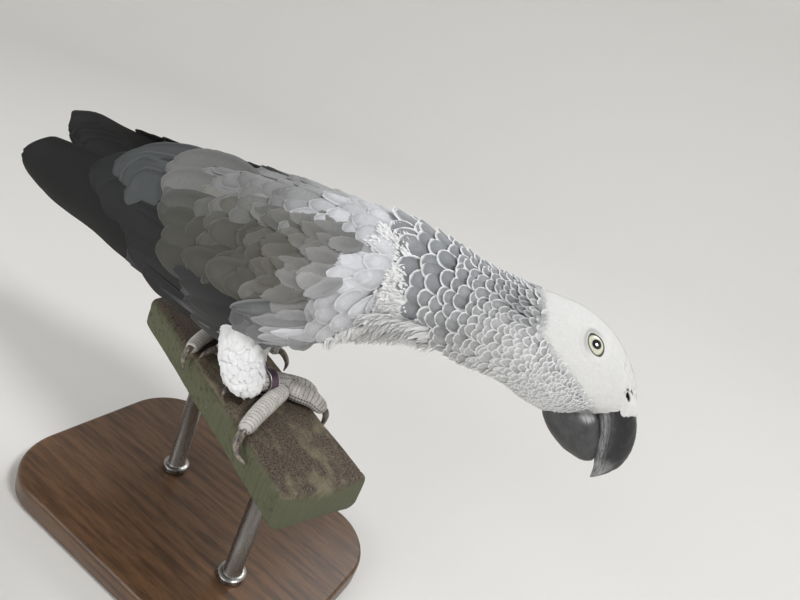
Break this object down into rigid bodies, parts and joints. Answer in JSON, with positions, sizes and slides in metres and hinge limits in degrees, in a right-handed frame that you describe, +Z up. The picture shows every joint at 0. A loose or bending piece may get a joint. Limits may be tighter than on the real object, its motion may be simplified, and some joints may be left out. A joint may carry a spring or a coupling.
{
  "type": "grey parrot",
  "caption": "Life-size still model of an African grey parrot leaning forward and down from a short length of weathered beam, held on a flat base by rods.",
  "frame": {"origin": "middle of the underside of the stand's base", "axes": "+X the way the bird heads, +Y to its left, +Z up"},
  "size_m": [0.3737, 0.13, 0.2258],
  "materials": {
    "grey_plumage": "soft matte feathers, mid-grey with pale rims",
    "dark_plumage": "stiff charcoal flight feathers with a faint sheen",
    "red_plumage": "scarlet tail feathers",
    "white_plumage": "short white face feathers and white down",
    "bare_skin": "pale bare skin",
    "scaly_skin": "pale grey-pink scaled skin",
    "horn": "black horn, satin, scuffed pale along the ridge",
    "claw_horn": "dark translucent horn",
    "eye": "wet, pale yellow iris and black pupil",
    "ring_metal": "dull mauve anodised band, worn to bare metal at its edges",
    "weathered_beam": "weathered, scratched and stained, brown-grey",
    "stand_wood": "dark stained wood, satin",
    "stand_metal": "brushed"
  },
  "bodies": {
    "root": {"head": "white_plumage", "neck": "grey_plumage", "trunk": "grey_plumage", "wing_right": "grey_plumage", "wing_left": "grey_plumage", "primaries_right": "dark_plumage", "primaries_left": "dark_plumage", "tail": "red_plumage", "thigh_right": "white_plumage", "thigh_left": "white_plumage", "cere": "bare_skin", "bill_upper": "horn", "bill_lower": "horn", "eye_right": "eye", "eye_left": "eye", "leg_ring": "ring_metal", "perch_beam": "weathered_beam", "stand_base": "stand_wood", "stand_rod_1": "stand_metal", "stand_rod_2": "stand_metal", "shank_right": "scaly_skin", "toe_1_right": "scaly_skin", "claw_1_right": "claw_horn", "toe_2_right": "scaly_skin", "claw_2_right": "claw_horn", "toe_3_right": "scaly_skin", "claw_3_right": "claw_horn", "toe_4_right": "scaly_skin", "claw_4_right": "claw_horn", "shank_left": "scaly_skin", "toe_1_left": "scaly_skin", "claw_1_left": "claw_horn", "toe_2_left": "scaly_skin", "claw_2_left": "claw_horn", "toe_3_left": "scaly_skin", "claw_3_left": "claw_horn", "toe_4_left": "scaly_skin", "claw_4_left": "claw_horn"}
  },
  "joints": []
}
